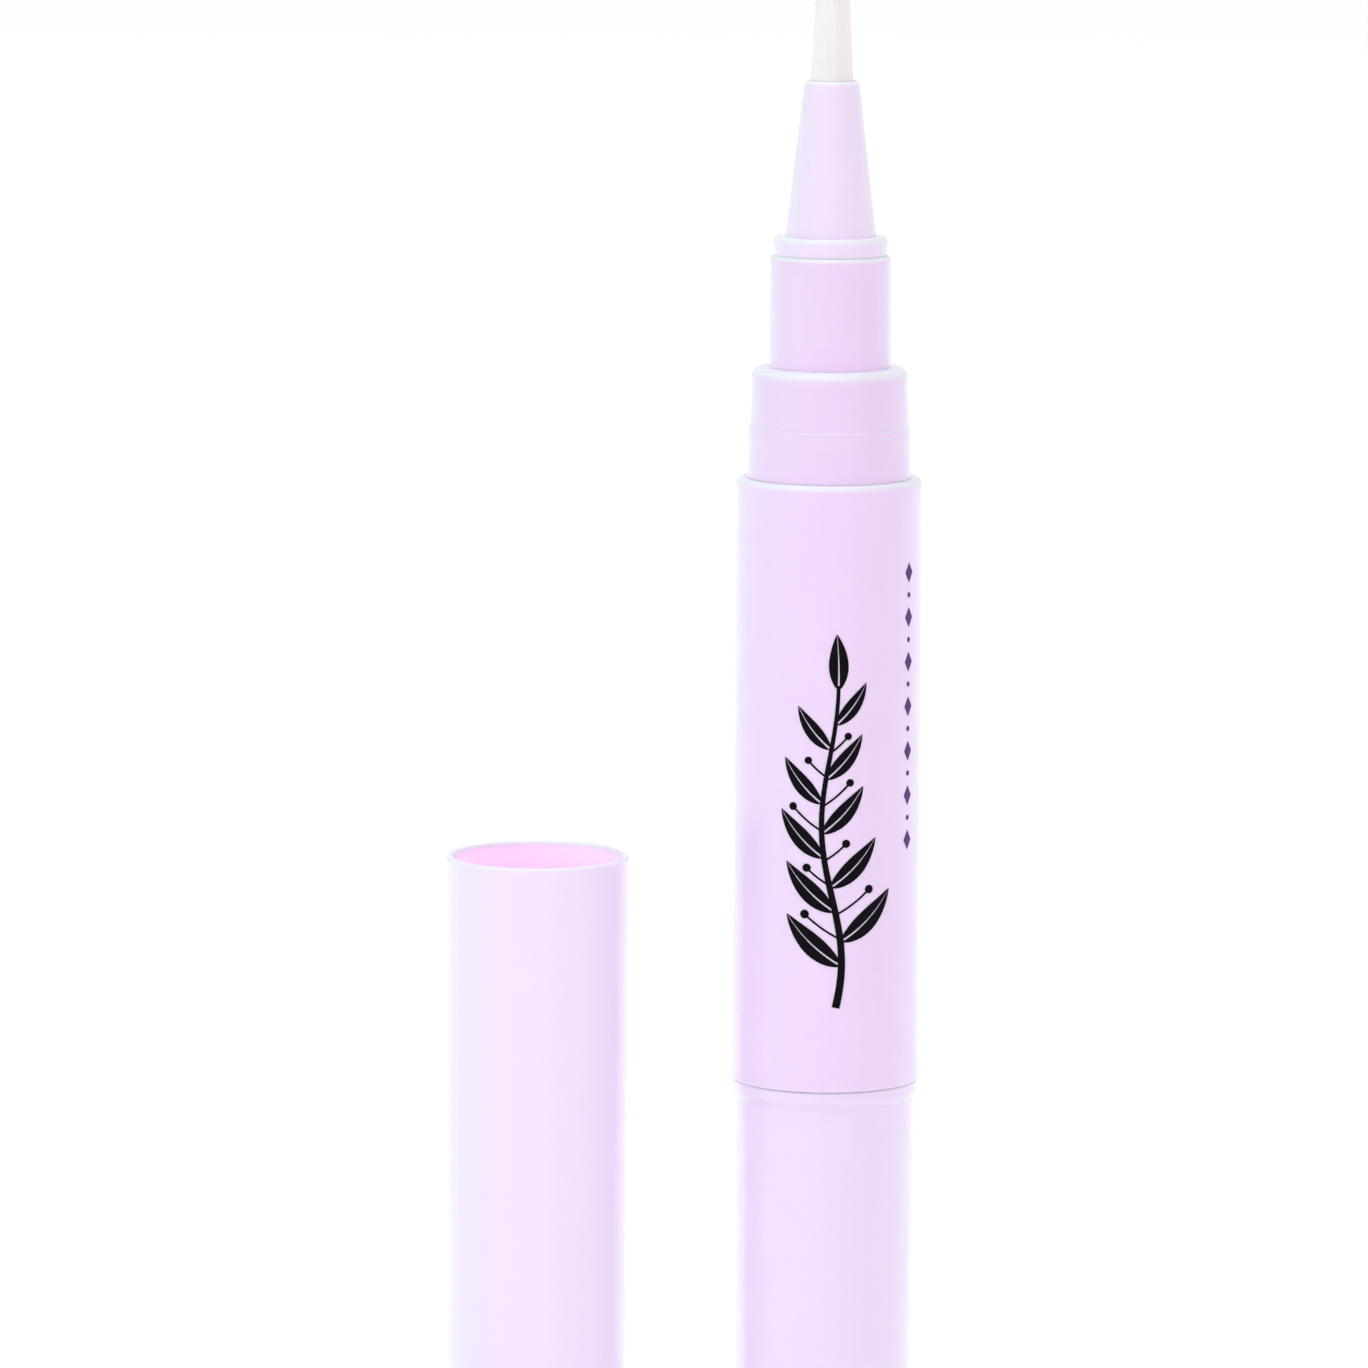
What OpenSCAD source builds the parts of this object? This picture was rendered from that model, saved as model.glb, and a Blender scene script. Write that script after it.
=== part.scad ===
// Twist-up nail oil pen that stands on its flat tail, with its cap taken off and stood beside it, mouth up.
// Lengths are in millimetres. The pen's axis is Z, the tail lies on z = 0, and the cap stands towards -X.

/* [Barrel] */
// Length of the barrel, from the seam above the knob to the shoulder
barrel_len = 46.2; // [42:0.1:60]
// Bore of the barrel, which holds the oil
barrel_bore_d = 12.0; // [11.4:0.1:14]
// Wall of the barrel at its shoulder
barrel_front_wall = 1.07; // [0.8:0.01:1.8]
// Wall of the barrel at its seam
barrel_rear_wall = 1.22; // [1.0:0.01:2.0]
// Rounding of the shoulder's outer edge
shoulder_round = 0.55; // [0.2:0.05:0.7]
// Rounding of the barrel's lower edge, at the seam
seam_round = 0.1; // [0.05:0.01:0.3]

/* [Knob] */
// Length of the knob that turns
knob_len = 36; // [34:0.1:46]
// Gap between the knob and the barrel, seen as a hairline
seam_gap = 0.05; // [0.04:0.01:0.3]
// How far the knob's collar stands in from the barrel's lower end
knob_inset = 0.13; // [0.05:0.01:0.3]
// Height of the collar round the top of the knob
knob_collar_h = 0.75; // [0.4:0.05:2]
// Height over which the collar runs down into the knob's body
knob_step_h = 0.7; // [0.3:0.05:1.5]
// How far the knob's body stands in from its collar
knob_step = 0.22; // [0.1:0.01:0.5]
// How much the knob's radius narrows from the collar down to the tail
knob_taper = 0.22; // [0:0.01:0.4]
// Rounding of the tail's edge
tail_round = 0.8; // [0.3:0.05:1.2]
// Thickness of the knob's closed tail
knob_floor = 1.2; // [0.8:0.1:2]
// Number of ribs inside the knob that key the drive sleeve
knob_ribs = 6; // [3:1:8]
// Width of a rib
knob_rib_w = 0.9; // [0.6:0.1:1.4]
// Height of a rib above the knob's bore
knob_rib_h = 0.8; // [0.5:0.1:1.2]
// Length of a rib, up from the tail
knob_rib_len = 7; // [4:0.5:12]

/* [Neck] */
// How far the neck's base overlaps the end face of the barrel
neck_seat_w = 0.275; // [0.15:0.005:0.4]
// Height of the neck's wide step
wide_step_h = 8.4; // [7:0.1:11]
// How much the wide step's radius narrows towards its top
wide_step_draft = 0.34; // [0:0.01:0.5]
// Rounding of the wide step's top edge
wide_step_round = 0.85; // [0.2:0.05:1]
// Height of the faint bead above the neck's base, up to its foot
bead_rise = 2.4; // [2:0.1:5]
// How far the bead stands proud
bead_proud = 0.07; // [0.02:0.005:0.1]
// Width of the bead along the neck
bead_w = 1.5; // [0.6:0.05:2]
// Diameter of the neck's narrow step at its base
narrow_step_d = 9.31; // [8.6:0.01:10]
// Height of the narrow step
narrow_step_h = 8.5; // [7:0.1:11]
// How much the narrow step's radius narrows towards its top
narrow_step_draft = 0.06; // [0:0.01:0.2]
// Rounding of the narrow step's top edge
narrow_step_round = 0.45; // [0.1:0.05:0.8]
// Length of the neck's plug in the barrel
neck_plug_len = 4.5; // [3:0.1:7]
// Wall of the neck's plug
neck_plug_wall = 1.35; // [1:0.05:1.8]
// Wall of the narrow step round the nozzle's plug
narrow_step_wall = 1.15; // [0.8:0.05:1.5]
// Thickness of the neck's roof over the plug's hollow
neck_roof = 1.6; // [1:0.1:2.5]
// Depth of the seal's groove in the neck's plug
seal_groove_depth = 0.5; // [0.3:0.05:0.7]
// Height of the seal's groove above the end of the plug
seal_rise = 1.4; // [0.8:0.1:2.5]

/* [Nozzle] */
// How far the flange ring stands in from the narrow step's top
flange_inset = 0.255; // [0.1:0.005:0.6]
// Height of the flange ring
flange_h = 1.4; // [0.8:0.1:2.5]
// Rounding under the flange ring, a little gentler than the narrow step's edge that it hugs
flange_hug_round = 0.55; // [0.5:0.05:1]
// Rounding of the flange ring's top edge
flange_round = 0.5; // [0.1:0.05:0.6]
// Diameter of the cone where it leaves the flange ring
cone_base_d = 6.87; // [6.3:0.01:7.6]
// Height of the cone
cone_h = 11.7; // [9:0.1:15]
// Wall of the cone at its mouth
cone_mouth_wall = 0.46; // [0.35:0.01:0.8]
// Rounding of the cone's mouth
cone_round = 0.4; // [0.1:0.05:0.4]
// Length of the nozzle's plug inside the neck
nozzle_plug_len = 11.2; // [10.6:0.1:13]
// Wall of the nozzle's plug
nozzle_plug_wall = 0.95; // [0.7:0.05:1.2]
// How far the catch at the end of the plug stands proud
catch_proud = 0.15; // [0.05:0.01:0.3]
// Length of the catch
catch_len = 0.7; // [0.4:0.1:1]

/* [Brush] */
// Diameter of the brush at the nozzle's mouth
brush_d = 3.2; // [2.6:0.05:3.6]
// Length of the brush beyond the nozzle's mouth
brush_reach = 13.5; // [9:0.1:18]
// Length of the shortest, outermost filaments beyond the mouth
brush_edge_reach = 7; // [5:0.1:9]
// Diameter that the bundle's taper comes down to at its full reach
brush_tip_d = 1.77; // [1:0.01:2.4]
// Distance between neighbouring filaments at the mouth
filament_pitch = 0.135; // [0.125:0.001:0.15]
// Thickness of a filament at the mouth
filament_d = 0.1; // [0.06:0.005:0.11]
// Thickness of the slice that the filaments are fused to
root_h = 1.5; // [1:0.1:2.5]
// Height of the brush's seat above the flange ring
root_rise = 0.4; // [0.2:0.1:1.5]
// How deep the filaments are fused into the slice
root_sink = 0.3; // [0.1:0.05:0.6]
// Outer diameter of the feed pipe
pipe_d = 1.2; // [0.9:0.05:1.4]
// Bore of the feed pipe
pipe_bore_d = 0.8; // [0.5:0.05:0.85]
// Length of the feed pipe
pipe_len = 18; // [16:0.1:22]
// How far the feed pipe reaches beyond the nozzle's mouth
pipe_reach = 1.2; // [0:0.1:3]
// Thickness of the pipe holder's flange
holder_flange_h = 1; // [0.6:0.1:1.6]
// How far the pipe holder's flange stands out from its body
holder_flange_w = 0.75; // [0.4:0.05:1]
// Wall of the pipe holder round its hollow
holder_wall = 0.75; // [0.5:0.05:1]
// Length over which the holder grips the feed pipe
holder_grip = 2.4; // [1.5:0.1:4]

/* [Mechanism] */
// Diameter of the lead screw over its thread
screw_d = 4.4; // [4:0.1:5]
// Diameter of the lead screw's core, and the width across its two flats
screw_core_d = 3.4; // [3:0.1:3.8]
// Advance of the thread in one turn
screw_lead = 2; // [1.5:0.1:2.5]
// Gap between the lead screw's end and the knob's floor
screw_tail_gap = 2.2; // [1:0.1:4]
// How far the neck below the lead screw's head is cut in from the core
screw_neck_cut = 0.5; // [0.3:0.05:0.8]
// How far the head stands out from the core
screw_head_proud = 0.3; // [0.15:0.05:0.6]
// Thickness of the lead screw's head
screw_head_h = 1.5; // [1:0.1:2]
// Depth of the nut inside the barrel
nut_depth = 5; // [4:0.1:7]
// Wall of the nut round its thread
nut_boss_wall = 1.3; // [0.9:0.1:1.5]
// Wall of the nut's rim against the barrel
nut_rim_wall = 1; // [0.7:0.05:1.1]
// Thickness of the nut's web
nut_web = 1.5; // [1:0.1:2.5]
// Number of keys that stop the nut from turning in the barrel
nut_keys = 8; // [3:1:10]
// Width of a key
nut_key_w = 0.8; // [0.5:0.1:1.2]
// Height of a key
nut_key_h = 0.35; // [0.2:0.05:0.5]
// How far the nut's skirt stands in from its rim
skirt_inset = 0.45; // [0.3:0.05:0.6]
// Length of the skirt that the knob turns on
skirt_len = 10; // [9:0.1:12]
// Wall of the skirt
skirt_wall = 0.75; // [0.6:0.05:0.9]
// How far the skirt's snap bead stands proud
snap_proud = 0.2; // [0.1:0.05:0.3]
// Width of the snap bead along the skirt
snap_w = 1; // [0.6:0.1:1.5]
// Height of the snap bead above the skirt's end
snap_rise = 0.6; // [0.4:0.1:1.2]
// Number of ratchet teeth inside the skirt
ratchet_teeth = 12; // [8:2:16]
// Depth of a ratchet tooth
tooth_depth = 0.4; // [0.25:0.05:0.45]
// Length of the teeth along the skirt
tooth_len = 4; // [3:0.1:5]
// Height of the teeth above the skirt's end
tooth_rise = 3.6; // [3:0.1:4.5]
// Wall of the drive sleeve outside its double-D bore
sleeve_wall = 0.7; // [0.5:0.05:0.8]
// Thickness of the drive sleeve's foot
sleeve_foot_h = 1.5; // [1:0.1:2.5]
// Gap between the top of the drive sleeve and the nut
sleeve_top_gap = 0.3; // [0.2:0.05:1]
// Thickness of the shelf that the click ring stands on
shelf_h = 0.8; // [0.5:0.1:1.5]
// Width of that shelf
shelf_w = 0.5; // [0.3:0.05:0.6]
// Height of the click ring
click_h = 3; // [2:0.1:3.4]
// Width of the two splines that turn the click ring
spline_w = 1; // [0.6:0.1:1.4]
// Height of those splines above the sleeve
spline_h = 0.3; // [0.15:0.05:0.35]
// Length of the piston
piston_len = 6.5; // [5.6:0.1:9]
// Width of each of the piston's lips along the bore
lip_w = 1.3; // [0.8:0.1:1.8]
// How far the piston's waist stands in from its lips
waist_inset = 0.55; // [0.3:0.05:0.9]
// Depth of the dish in the piston's front
dish_depth = 0.8; // [0.3:0.1:1]
// Height of the piston's socket above its rear face
socket_rise = 2.4; // [1.8:0.1:3]
// Gap between the nut and the piston when the pen is full
piston_gap = 1; // [0.5:0.1:3]

/* [Cap] */
// Wall of the cap at its mouth
cap_wall = 0.6; // [0.4:0.005:0.9]
// Gap round the neck's base inside the cap's mouth
cap_slack = 0.14; // [0.1:0.005:0.5]
// How much the cap's radius narrows towards its closed end
cap_taper = 0.15; // [0:0.01:0.3]
// Rounding of the closed end's edge
cap_end_round = 0.8; // [0.3:0.05:1]
// Thickness of the cap's closed end
cap_floor = 1.4; // [0.8:0.1:2.5]
// Width of the step inside the cap that stops the liner
cap_step = 0.4; // [0.2:0.05:0.5]
// Room for the brush's tip inside the liner
tip_room = 2; // [1:0.1:5]
// Room between the liner and the cap's closed end
end_room = 5.4; // [1:0.1:9]
// Thickness of the liner's collar
liner_collar_h = 0.9; // [0.6:0.1:1.5]
// Gap between the liner and the neck's wide step when the cap is on
liner_gap = 0.2; // [0.1:0.05:0.5]
// Wall of the liner
liner_wall = 0.8; // [0.6:0.05:1]
// Room round the nozzle's cone inside the liner
liner_room = 0.27; // [0.15:0.01:0.6]
// Number of ribs that centre the liner in the cap
liner_ribs = 6; // [3:1:8]
// Width of one of those ribs
liner_rib_w = 0.8; // [0.5:0.1:1.2]
// Diameter of the stub that carries the liner on the cap's closed end
stub_d = 3; // [2:0.1:5]
// Clear space between the cap and the pen
cap_space = 7.8; // [2:0.1:20]

/* [Fits] */
// Gap on each side of pieces that are pressed or keyed together
snug = 0.05; // [0.03:0.01:0.08]
// Gap on each side of pieces that turn or slide on each other
running = 0.05; // [0.03:0.01:0.08]
// Gap on each side of the lead screw's thread and flats
thread_gap = 0.1; // [0.06:0.01:0.12]
// Gap on each side of the snap bead in its groove
snap_gap = 0.08; // [0.05:0.01:0.1]
// Gap between a pawl and the ratchet teeth
pawl_gap = 0.08; // [0.05:0.01:0.12]

/* [Hidden] */
$fn = 96;

// How far a cutting shape runs past what it cuts, and a rib runs into what it stands on
overrun = 0.2;
// Straight bands in a rounded edge, a soft step, the neck's bead, a tooth's ramp and an arm of the click ring
round_bands = 6;
step_bands = 8;
bead_bands = 20;
ramp_bands = 3;
arm_bands = 12;

// Heights up the pen
barrel_z = knob_len + seam_gap;
shoulder_z = barrel_z + barrel_len;
narrow_z = shoulder_z + wide_step_h;
flange_z = narrow_z + narrow_step_h;
cone_z = flange_z + flange_h;
mouth_z = cone_z + cone_h;
tip_z = mouth_z + brush_reach;

// Radii of the barrel and the knob
bore_r = barrel_bore_d / 2;
barrel_front_r = bore_r + barrel_front_wall;
barrel_rear_r = bore_r + barrel_rear_wall;
knob_collar_r = barrel_rear_r - knob_inset;
knob_body_r = knob_collar_r - knob_step;
knob_tail_r = knob_body_r - knob_taper;

// The nut, and what turns on it
nut_r = bore_r - snug;
nut_top_z = barrel_z + nut_depth;
skirt_r = nut_r - skirt_inset;
skirt_z = barrel_z - skirt_len;
knob_bore_r = skirt_r + running;
tooth_root_r = skirt_r - skirt_wall;
tooth_tip_r = tooth_root_r - tooth_depth;
tooth_z = skirt_z + tooth_rise;
tooth_angle = 360 / ratchet_teeth;
// Share of a tooth's angle that its gentle ramp takes, and where a pawl's back, slope and tip end
ramp_share = 0.93;
pawl_back_share = 0.03;
pawl_slope_share = 0.33;
pawl_tip_share = 0.55;

// Lead screw and drive sleeve
screw_r = screw_d / 2;
screw_core_r = screw_core_d / 2;
screw_z = knob_floor + screw_tail_gap;
screw_top_z = nut_top_z + piston_gap - running;
screw_len = screw_top_z - screw_z;
thread_sides = 20;
// Where a ridge's foot, crest, crest again and foot lie, as shares of one turn's advance
ridge_shares = [0.15, 0.35, 0.65, 0.85];
// How much wider than the ridge the nut's groove is cut, on each side
groove_widen = thread_gap / 2;
double_d_r = screw_r + thread_gap;
double_d_flat = screw_core_r + thread_gap;
sleeve_r = double_d_r + sleeve_wall;
sleeve_z = knob_floor + running;
sleeve_top_z = barrel_z - sleeve_top_gap;

// Click ring, in the room between the sleeve and the teeth
click_z = tooth_z + (tooth_len - click_h) / 2;
click_in_r = sleeve_r + snug;
arm_out_r = tooth_tip_r - pawl_gap;
click_room = arm_out_r - click_in_r;
hub_share = 0.42;
arm_share = 0.3;
hub_r = click_in_r + click_room * hub_share;
arm_in_r = arm_out_r - click_room * arm_share;
arm_sweep = 110;
arm_root_sweep = 14;

// Piston
piston_r = bore_r - running;
piston_z = nut_top_z + piston_gap;
screw_neck_r = screw_core_r - screw_neck_cut;
screw_head_r = screw_core_r + screw_head_proud;
head_z = piston_z + socket_rise + running;
socket_r = screw_head_r + running;
socket_mouth_r = (screw_neck_r + screw_head_r) / 2;

// Where the bead's crest and ledge lie across it, and how proud the ledge is, as shares
bead_crest = 0.55;
bead_ledge = 0.95;
ledge_share = 0.6;

// Neck collar, its seal and the nozzle
neck_base_r = bore_r + neck_seat_w;
neck_top_r = neck_base_r - wide_step_draft;
narrow_base_r = narrow_step_d / 2;
narrow_top_r = narrow_base_r - narrow_step_draft;
narrow_flat_r = narrow_top_r - narrow_step_round;
neck_plug_r = bore_r - snug;
neck_plug_z = shoulder_z - neck_plug_len;
neck_hollow_r = neck_plug_r - neck_plug_wall;
neck_hollow_top_z = narrow_z - neck_roof;
seal_room = bore_r - neck_plug_r + seal_groove_depth;
seal_d = seal_room - 2 * running;
seal_z = neck_plug_z + seal_rise;
neck_bore_r = narrow_base_r - narrow_step_wall;
flange_r = narrow_top_r - flange_inset;
cone_base_r = cone_base_d / 2;
cone_mouth_r = brush_d / 2 + snug + cone_mouth_wall;
nozzle_plug_r = neck_bore_r - snug;
nozzle_plug_z = flange_z - nozzle_plug_len;
holder_bore_r = nozzle_plug_r - nozzle_plug_wall;

// Brush, which narrows evenly from its seat to its tip, as if drawn to one point
seat_z = cone_z + root_rise;
brush_r = brush_d / 2;
draw_h = brush_reach / (1 - brush_tip_d / brush_d);
seat_scale = 1 + (mouth_z - seat_z) / draw_h;
sunk_scale = 1 + (mouth_z - seat_z + root_sink) / draw_h;
pipe_r = pipe_d / 2;
pipe_hole_r = pipe_r + snug;
pipe_top_z = mouth_z + pipe_reach;
filament_r = filament_d / 2;
filament_sides = 3;
// Filaments stand between the nozzle's wall and the feed pipe, as far up as the pipe reaches
bundle_in_r = (pipe_r + snug) / (1 - pipe_reach / draw_h) + filament_r;
bundle_out_r = brush_r - filament_r;
holder_r = holder_bore_r - snug;
holder_z = nozzle_plug_z - holder_flange_h;
holder_top_z = seat_z - root_h - running;
holder_hollow_r = holder_r - holder_wall;

// Cap, measured up from its closed end
cap_bore_r = neck_base_r + cap_slack;
cap_mouth_r = cap_bore_r + cap_wall;
cap_end_r = cap_mouth_r - cap_taper;
cap_deep_r = cap_bore_r - cap_step;
liner_len = tip_z - shoulder_z + tip_room + liner_wall;
cap_len = liner_len + end_room + cap_floor;
cap_x = -(barrel_rear_r + cap_space + cap_mouth_r);
cap_step_z = cap_len - wide_step_h - liner_gap - liner_collar_h;
liner_end_z = cap_len - liner_len;
grip_end_z = cap_len - (cone_z - shoulder_z) - liner_gap;
grip_r = narrow_base_r + running;
well_r = cone_base_r + liner_room;

// Colours
lilac = [0.945, 0.87, 0.98];
white = [0.96, 0.96, 0.95];
clear_white = [0.9, 0.92, 0.93];
bristle_white = [0.95, 0.94, 0.92];

// Points along an arc about a centre, from one angle to another
function arc(centre, r, from, to, bands = round_bands) =
    [for (i = [0 : bands]) let (a = from + (to - from) * i / bands) centre + r * [cos(a), sin(a)]];

// Points up a soft S-shaped step, from one radius to another
function soft_step(r_low, r_high, z, h) =
    [for (i = [0 : step_bands])
        [r_low + (r_high - r_low) * (1 - cos(180 * i / step_bands)) / 2, z + h * i / step_bands]];

// How far the neck's bead stands proud, as a share, along its width: a gentle rise to its crest, a slight fall to a
// ledge, and a quick drop there
function bead_share(along) =
    along < bead_crest ? (1 - cos(180 * along / bead_crest)) / 2
    : along < bead_ledge ? 1 - (1 - ledge_share) * (along - bead_crest) / (bead_ledge - bead_crest)
    : ledge_share * (1 - along) / (1 - bead_ledge);

// A solid turned about Z from its outline
module turned(outline) rotate_extrude() polygon(outline);

// A ring with a square section
module ring(r_in, r_out, z, h) {
    difference() {
        translate([0, 0, z]) cylinder(r = r_out, h = h);
        translate([0, 0, z - overrun]) cylinder(r = r_in, h = h + 2 * overrun);
    }
}

// Ribs round Z that reach from one radius to another
module ribs_round(count, r_in, r_out, w, z, h) {
    for (i = [0 : count - 1])
        rotate(360 * i / count) translate([r_in, -w / 2, z]) cube([r_out - r_in, w, h]);
}

// One-start screw thread from z = 0 up to z = len. Its rows of points climb the helix, so that the ridge
// stays sharp, and those past either end are drawn in to the core there. Flats cut it down to flat_r.
module thread(len, core_r, ridge_r, flat_r, widen) {
    rows = 4 * (ceil(len / screw_lead) + 3);
    function row_z(i, j) =
        screw_lead * (floor(j / 4) + ridge_shares[j % 4] + i / thread_sides - 2)
        + (j % 4 < 2 ? -widen : widen);
    function row_r(j, z) = z > 0 && z < len && (j % 4 == 1 || j % 4 == 2) ? ridge_r : core_r;
    function spot(i, j) =
        let (a = 360 * i / thread_sides, z = row_z(i, j), r = min(row_r(j, z), flat_r / abs(sin(a))))
        [r * cos(a), r * sin(a), min(max(z, 0), len)];
    function at(i, j) =
        i < thread_sides ? i * rows + min(j, rows - 1) : min(j + 4, rows - 1);
    polyhedron(
        points = [for (i = [0 : thread_sides - 1], j = [0 : rows - 1]) spot(i, j)],
        faces = concat(
            [for (i = [0 : thread_sides - 1], j = [0 : rows - 2]) [at(i, j), at(i, j + 1), at(i + 1, j + 1)]],
            [for (i = [0 : thread_sides - 1], j = [0 : rows - 2]) [at(i, j), at(i + 1, j + 1), at(i + 1, j)]],
            [[for (i = [0 : thread_sides - 1]) at(i, 0)]],
            [[for (i = [thread_sides - 1 : -1 : 0]) at(i, rows - 1)]]));
}

// Tube that holds the oil, open at both ends, with keyways for the nut at the rear
module barrel() color(lilac) {
    difference() {
        turned(concat(
            [[0, barrel_z], [barrel_rear_r - seam_round, barrel_z]],
            arc([barrel_rear_r - seam_round, barrel_z + seam_round], seam_round, -90, 0),
            arc([barrel_front_r - shoulder_round, shoulder_z - shoulder_round], shoulder_round, 0, 90),
            [[0, shoulder_z]]));
        translate([0, 0, barrel_z - overrun]) cylinder(r = bore_r, h = barrel_len + 2 * overrun);
        ribs_round(nut_keys, bore_r - overrun, nut_r + nut_key_h + snug, nut_key_w + 2 * snug,
            barrel_z - overrun, nut_depth + overrun + snug);
    }
}

// Two-step neck, seated on the barrel's end face and plugged into its bore
module neck_collar() color(lilac) {
    difference() {
        turned(concat(
            [[0, neck_plug_z], [neck_plug_r, neck_plug_z]],
            [[neck_plug_r, shoulder_z], [neck_base_r, shoulder_z]],
            [for (i = [0 : bead_bands])
                let (rise = bead_rise + bead_w * i / bead_bands, bump = bead_proud * bead_share(i / bead_bands))
                [neck_base_r - wide_step_draft * rise / wide_step_h + bump, shoulder_z + rise]],
            arc([neck_top_r - wide_step_round, narrow_z - wide_step_round], wide_step_round, 0, 90),
            [[narrow_base_r, narrow_z]],
            arc([narrow_flat_r, flange_z - narrow_step_round], narrow_step_round, 0, 90),
            [[0, flange_z]]));
        translate([0, 0, neck_plug_z - overrun])
            cylinder(r = neck_hollow_r, h = neck_hollow_top_z - neck_plug_z + overrun);
        translate([0, 0, neck_plug_z]) cylinder(r = neck_bore_r, h = flange_z - neck_plug_z + overrun);
        ring(neck_plug_r - seal_groove_depth, neck_plug_r + overrun, seal_z, seal_room);
    }
}

// O-ring in the groove of the neck's plug
module neck_seal() color(clear_white) {
    rotate_extrude() translate([neck_plug_r - seal_groove_depth + seal_room / 2, seal_z + seal_room / 2])
        circle(d = seal_d);
}

// Nozzle: a plug with a catch, the flange ring and the cone that the brush comes out of
module nozzle() color(lilac) {
    difference() {
        turned(concat(
            [[0, nozzle_plug_z], [nozzle_plug_r, nozzle_plug_z],
                [nozzle_plug_r + catch_proud, nozzle_plug_z + catch_len / 2],
                [nozzle_plug_r, nozzle_plug_z + catch_len]],
            [[nozzle_plug_r, flange_z]],
            [for (i = [0 : round_bands])
                let (out = (flange_r - narrow_flat_r) * i / round_bands)
                [narrow_flat_r + out, flange_z - flange_hug_round + sqrt(pow(flange_hug_round, 2) - out * out)]],
            arc([flange_r - flange_round, cone_z - flange_round], flange_round, 0, 90),
            [[cone_base_r, cone_z]],
            arc([cone_mouth_r - cone_round, mouth_z - cone_round], cone_round, 0, 90),
            [[0, mouth_z]]));
        translate([0, 0, nozzle_plug_z - overrun])
            cylinder(r = holder_bore_r, h = seat_z - nozzle_plug_z + overrun);
        translate([0, 0, seat_z - overrun]) cylinder(h = mouth_z - seat_z + 2 * overrun,
            r1 = brush_r * seat_scale + snug, r2 = brush_r + snug);
    }
}

// Plug behind the brush that holds it down on its seat and grips the feed pipe
module pipe_holder() color(white) {
    difference() {
        turned([[0, holder_z], [holder_r + holder_flange_w, holder_z],
            [holder_r + holder_flange_w, nozzle_plug_z], [holder_r, nozzle_plug_z],
            [holder_r, holder_top_z], [0, holder_top_z]]);
        translate([0, 0, holder_z - overrun])
            cylinder(r = holder_hollow_r, h = holder_top_z - holder_grip - holder_z + overrun);
        translate([0, 0, holder_z]) cylinder(r = pipe_hole_r, h = holder_top_z - holder_z + overrun);
    }
}

// Thin pipe that takes the oil into the middle of the brush
module feed_pipe() color(clear_white) {
    ring(pipe_bore_d / 2, pipe_r, pipe_top_z - pipe_len, pipe_len);
}

// Where the filaments cross the plane of the nozzle's mouth: a honeycomb between the pipe and the wall
lattice_rows = ceil(bundle_out_r / (filament_pitch * sin(60)));
lattice_columns = ceil(bundle_out_r / filament_pitch) + 1;
filament_spots = [for (row = [-lattice_rows : lattice_rows], column = [-lattice_columns : lattice_columns])
    let (spot = filament_pitch * [column + (row % 2 == 0 ? 0 : 0.5), row * sin(60)])
    if (norm(spot) >= bundle_in_r && norm(spot) <= bundle_out_r) spot];

// Three-sided filaments, each one straight and all drawn to one point, so that none cross. The outer ones are
// shorter, which rounds the tip.
module filaments() {
    function reach(spot) =
        let (share = (norm(spot) - bundle_in_r) / (bundle_out_r - bundle_in_r))
        brush_reach - (brush_reach - brush_edge_reach) * share * share;
    function corner(spot, k, scale, z) =
        let (a = 360 * k / filament_sides, at = scale * (spot + filament_r * [cos(a), sin(a)]))
        [at[0], at[1], z];
    polyhedron(
        points = [for (spot = filament_spots)
            each concat(
                [for (k = [0 : filament_sides - 1]) corner(spot, k, sunk_scale, seat_z - root_sink)],
                [for (k = [0 : filament_sides - 1])
                    corner(spot, k, 1 - reach(spot) / draw_h, mouth_z + reach(spot))])],
        faces = [for (n = [0 : len(filament_spots) - 1])
            let (low = 2 * filament_sides * n, high = low + filament_sides)
            each concat(
                [[for (k = [0 : filament_sides - 1]) low + k]],
                [[for (k = [filament_sides - 1 : -1 : 0]) high + k]],
                [for (k = [0 : filament_sides - 1]) [low + k, high + k, high + (k + 1) % filament_sides]],
                [for (k = [0 : filament_sides - 1])
                    let (next = (k + 1) % filament_sides)
                    [low + k, high + next, low + next]])]);
}

// Brush: filaments fused at their root into a slice that the feed pipe passes through
module brush() color(bristle_white) {
    union() {
        ring(pipe_hole_r, holder_r, seat_z - root_h, root_h);
        filaments();
    }
}

// Outline of the space inside the ratchet teeth: a gentle ramp and a steep step for each tooth
function tooth_space() =
    [for (i = [0 : ratchet_teeth - 1], band = [0 : ramp_bands])
        let (a = tooth_angle * (i + ramp_share * band / ramp_bands))
        (tooth_root_r - tooth_depth * band / ramp_bands) * [cos(a), sin(a)]];

// Nut fixed in the rear of the barrel, with the skirt that the knob turns on
module screw_nut() color(white) {
    turns_below = floor((barrel_z - screw_z) / screw_lead) - 1;
    difference() {
        union() {
            turned([[0, barrel_z], [tooth_root_r, barrel_z], [tooth_root_r, skirt_z],
                [skirt_r, skirt_z], [skirt_r, skirt_z + snap_rise],
                [skirt_r + snap_proud, skirt_z + snap_rise + snap_w / 3],
                [skirt_r + snap_proud, skirt_z + snap_rise + snap_w * 2 / 3],
                [skirt_r, skirt_z + snap_rise + snap_w], [skirt_r, barrel_z],
                [nut_r, barrel_z], [nut_r, nut_top_z],
                [nut_r - nut_rim_wall, nut_top_z], [nut_r - nut_rim_wall, barrel_z + nut_web],
                [double_d_r + nut_boss_wall, barrel_z + nut_web], [double_d_r + nut_boss_wall, nut_top_z],
                [0, nut_top_z]]);
            translate([0, 0, tooth_z]) linear_extrude(tooth_len) difference() {
                circle(r = tooth_root_r + overrun);
                polygon(tooth_space());
            }
            ribs_round(nut_keys, nut_r - overrun, nut_r + nut_key_h, nut_key_w, barrel_z, nut_depth);
        }
        translate([0, 0, screw_z + turns_below * screw_lead])
            thread(nut_depth + 4 * screw_lead, screw_core_r + thread_gap, double_d_r, double_d_r,
                groove_widen);
    }
}

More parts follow.
